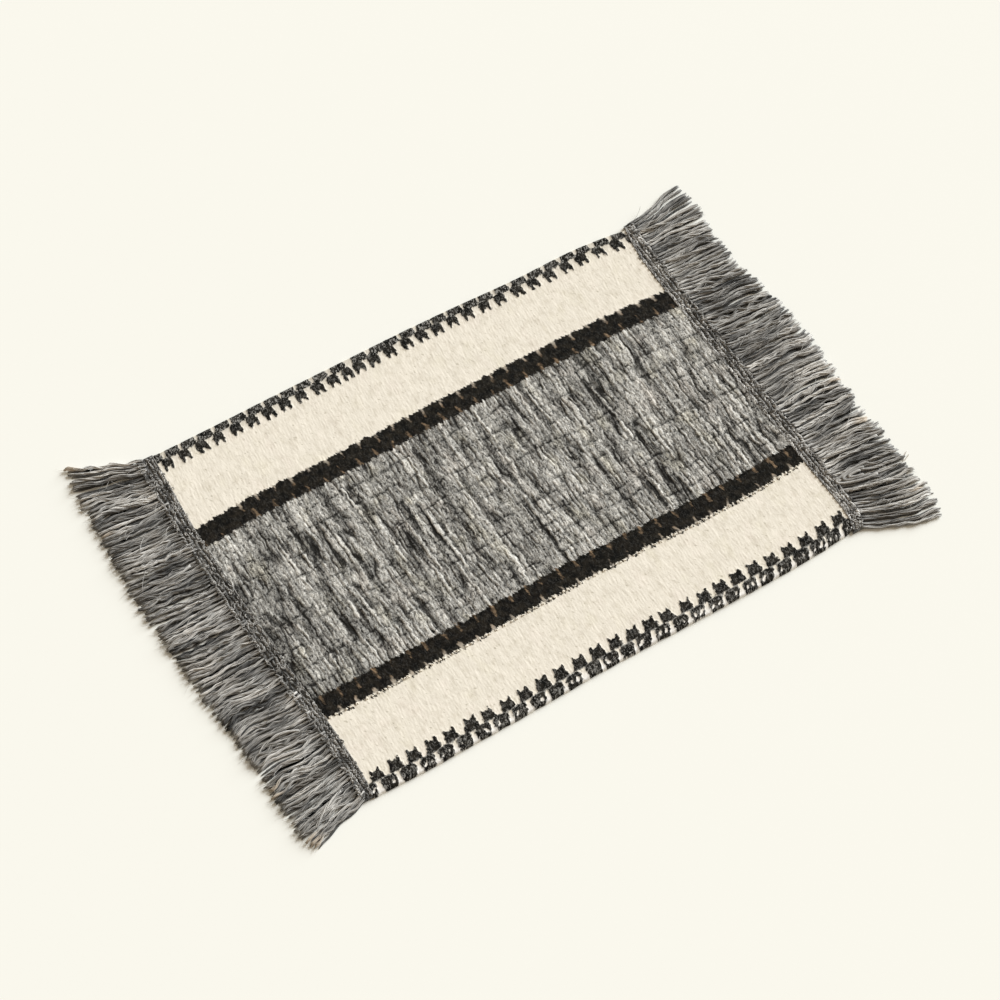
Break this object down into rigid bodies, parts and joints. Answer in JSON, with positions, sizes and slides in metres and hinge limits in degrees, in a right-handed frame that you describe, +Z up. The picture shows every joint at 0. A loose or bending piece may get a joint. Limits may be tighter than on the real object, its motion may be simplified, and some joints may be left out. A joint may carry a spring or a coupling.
{
  "type": "fringed woven placemat",
  "caption": "Flat woven table mat with cream and black bands, a grey marl centre and a yarn fringe at each end.",
  "frame": {"origin": "bottom centre of the whole mat's box, fringes included", "axes": "+X along the length from one fringe to the other, +Y across the width, +Z up from the table"},
  "size_m": [0.5118, 0.3402, 0.0039],
  "materials": {
    "woven_cloth": "matt thick weave in undyed cream, black and grey marl yarns",
    "fringe_yarn": "matt loose grey marl yarn"
  },
  "bodies": {
    "root": {"woven_ground": "woven_cloth", "fringe_left": "fringe_yarn", "fringe_right": "fringe_yarn"}
  },
  "joints": []
}
